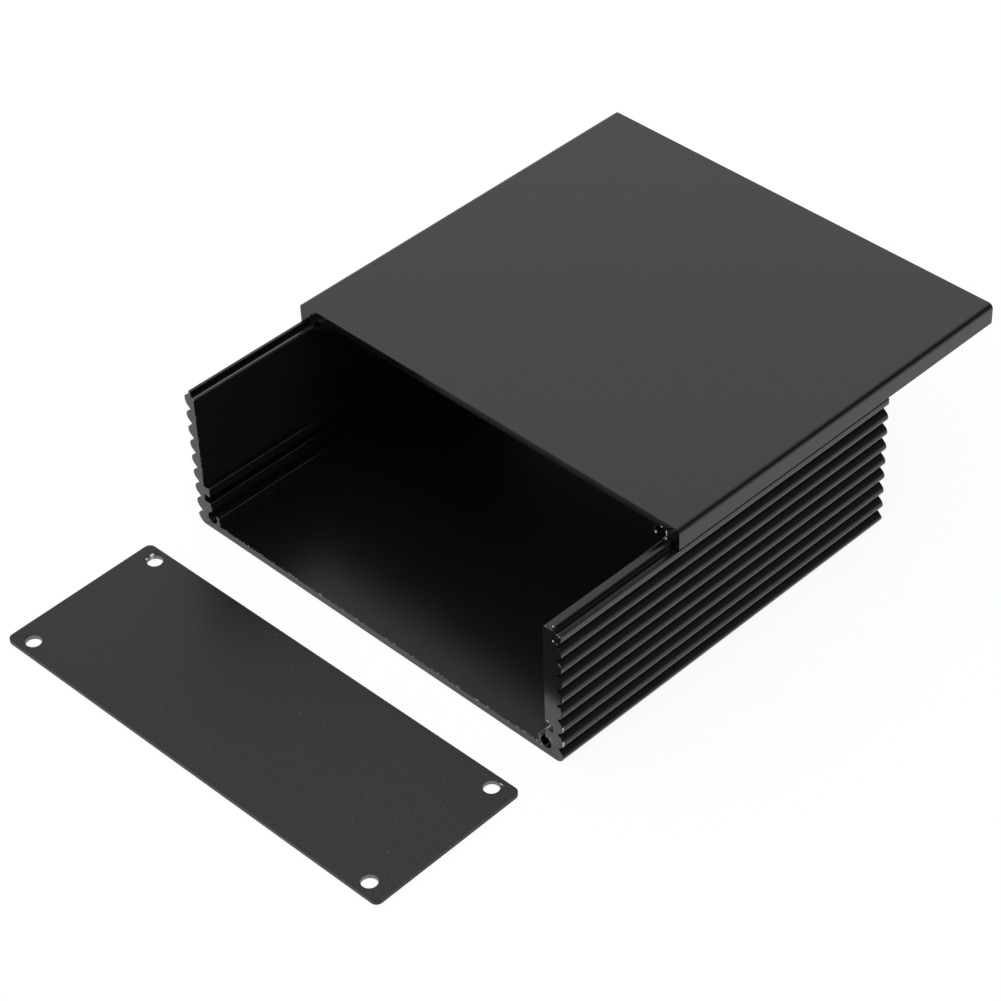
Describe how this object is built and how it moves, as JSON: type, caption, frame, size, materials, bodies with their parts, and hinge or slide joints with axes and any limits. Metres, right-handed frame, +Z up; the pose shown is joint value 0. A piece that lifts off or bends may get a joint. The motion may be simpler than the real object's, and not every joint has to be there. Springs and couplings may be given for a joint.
{
  "type": "electrical box",
  "caption": "Extruded aluminium electronics box, shown open: ribbed channel base with board slots, sliding lid drawn back on its rails, and a flat end plate lying in front.",
  "frame": {"origin": "middle of the base's underside, where it stands on the table", "axes": "+Z up; +Y along the extrusions from the open front end to the rear, the way the lid is drawn back; +X across the box to the heavy side wall"},
  "size_m": [0.1103, 0.1848, 0.0399],
  "materials": {
    "extrusion": "black anodised, satin, with fine lengthwise extrusion lines and bare sawn edges",
    "plate": "black anodised sheet, satin, with cut edges"
  },
  "bodies": {
    "base_body": {"base": "extrusion", "end_plate": "plate"},
    "lid_body": {"lid": "extrusion"}
  },
  "joints": [
    {"name": "lid_slide", "type": "slide", "parent": "base_body", "child": "lid_body", "axis": [0, 1, 0], "range_m": [-0.0335, 0.0547]}
  ]
}
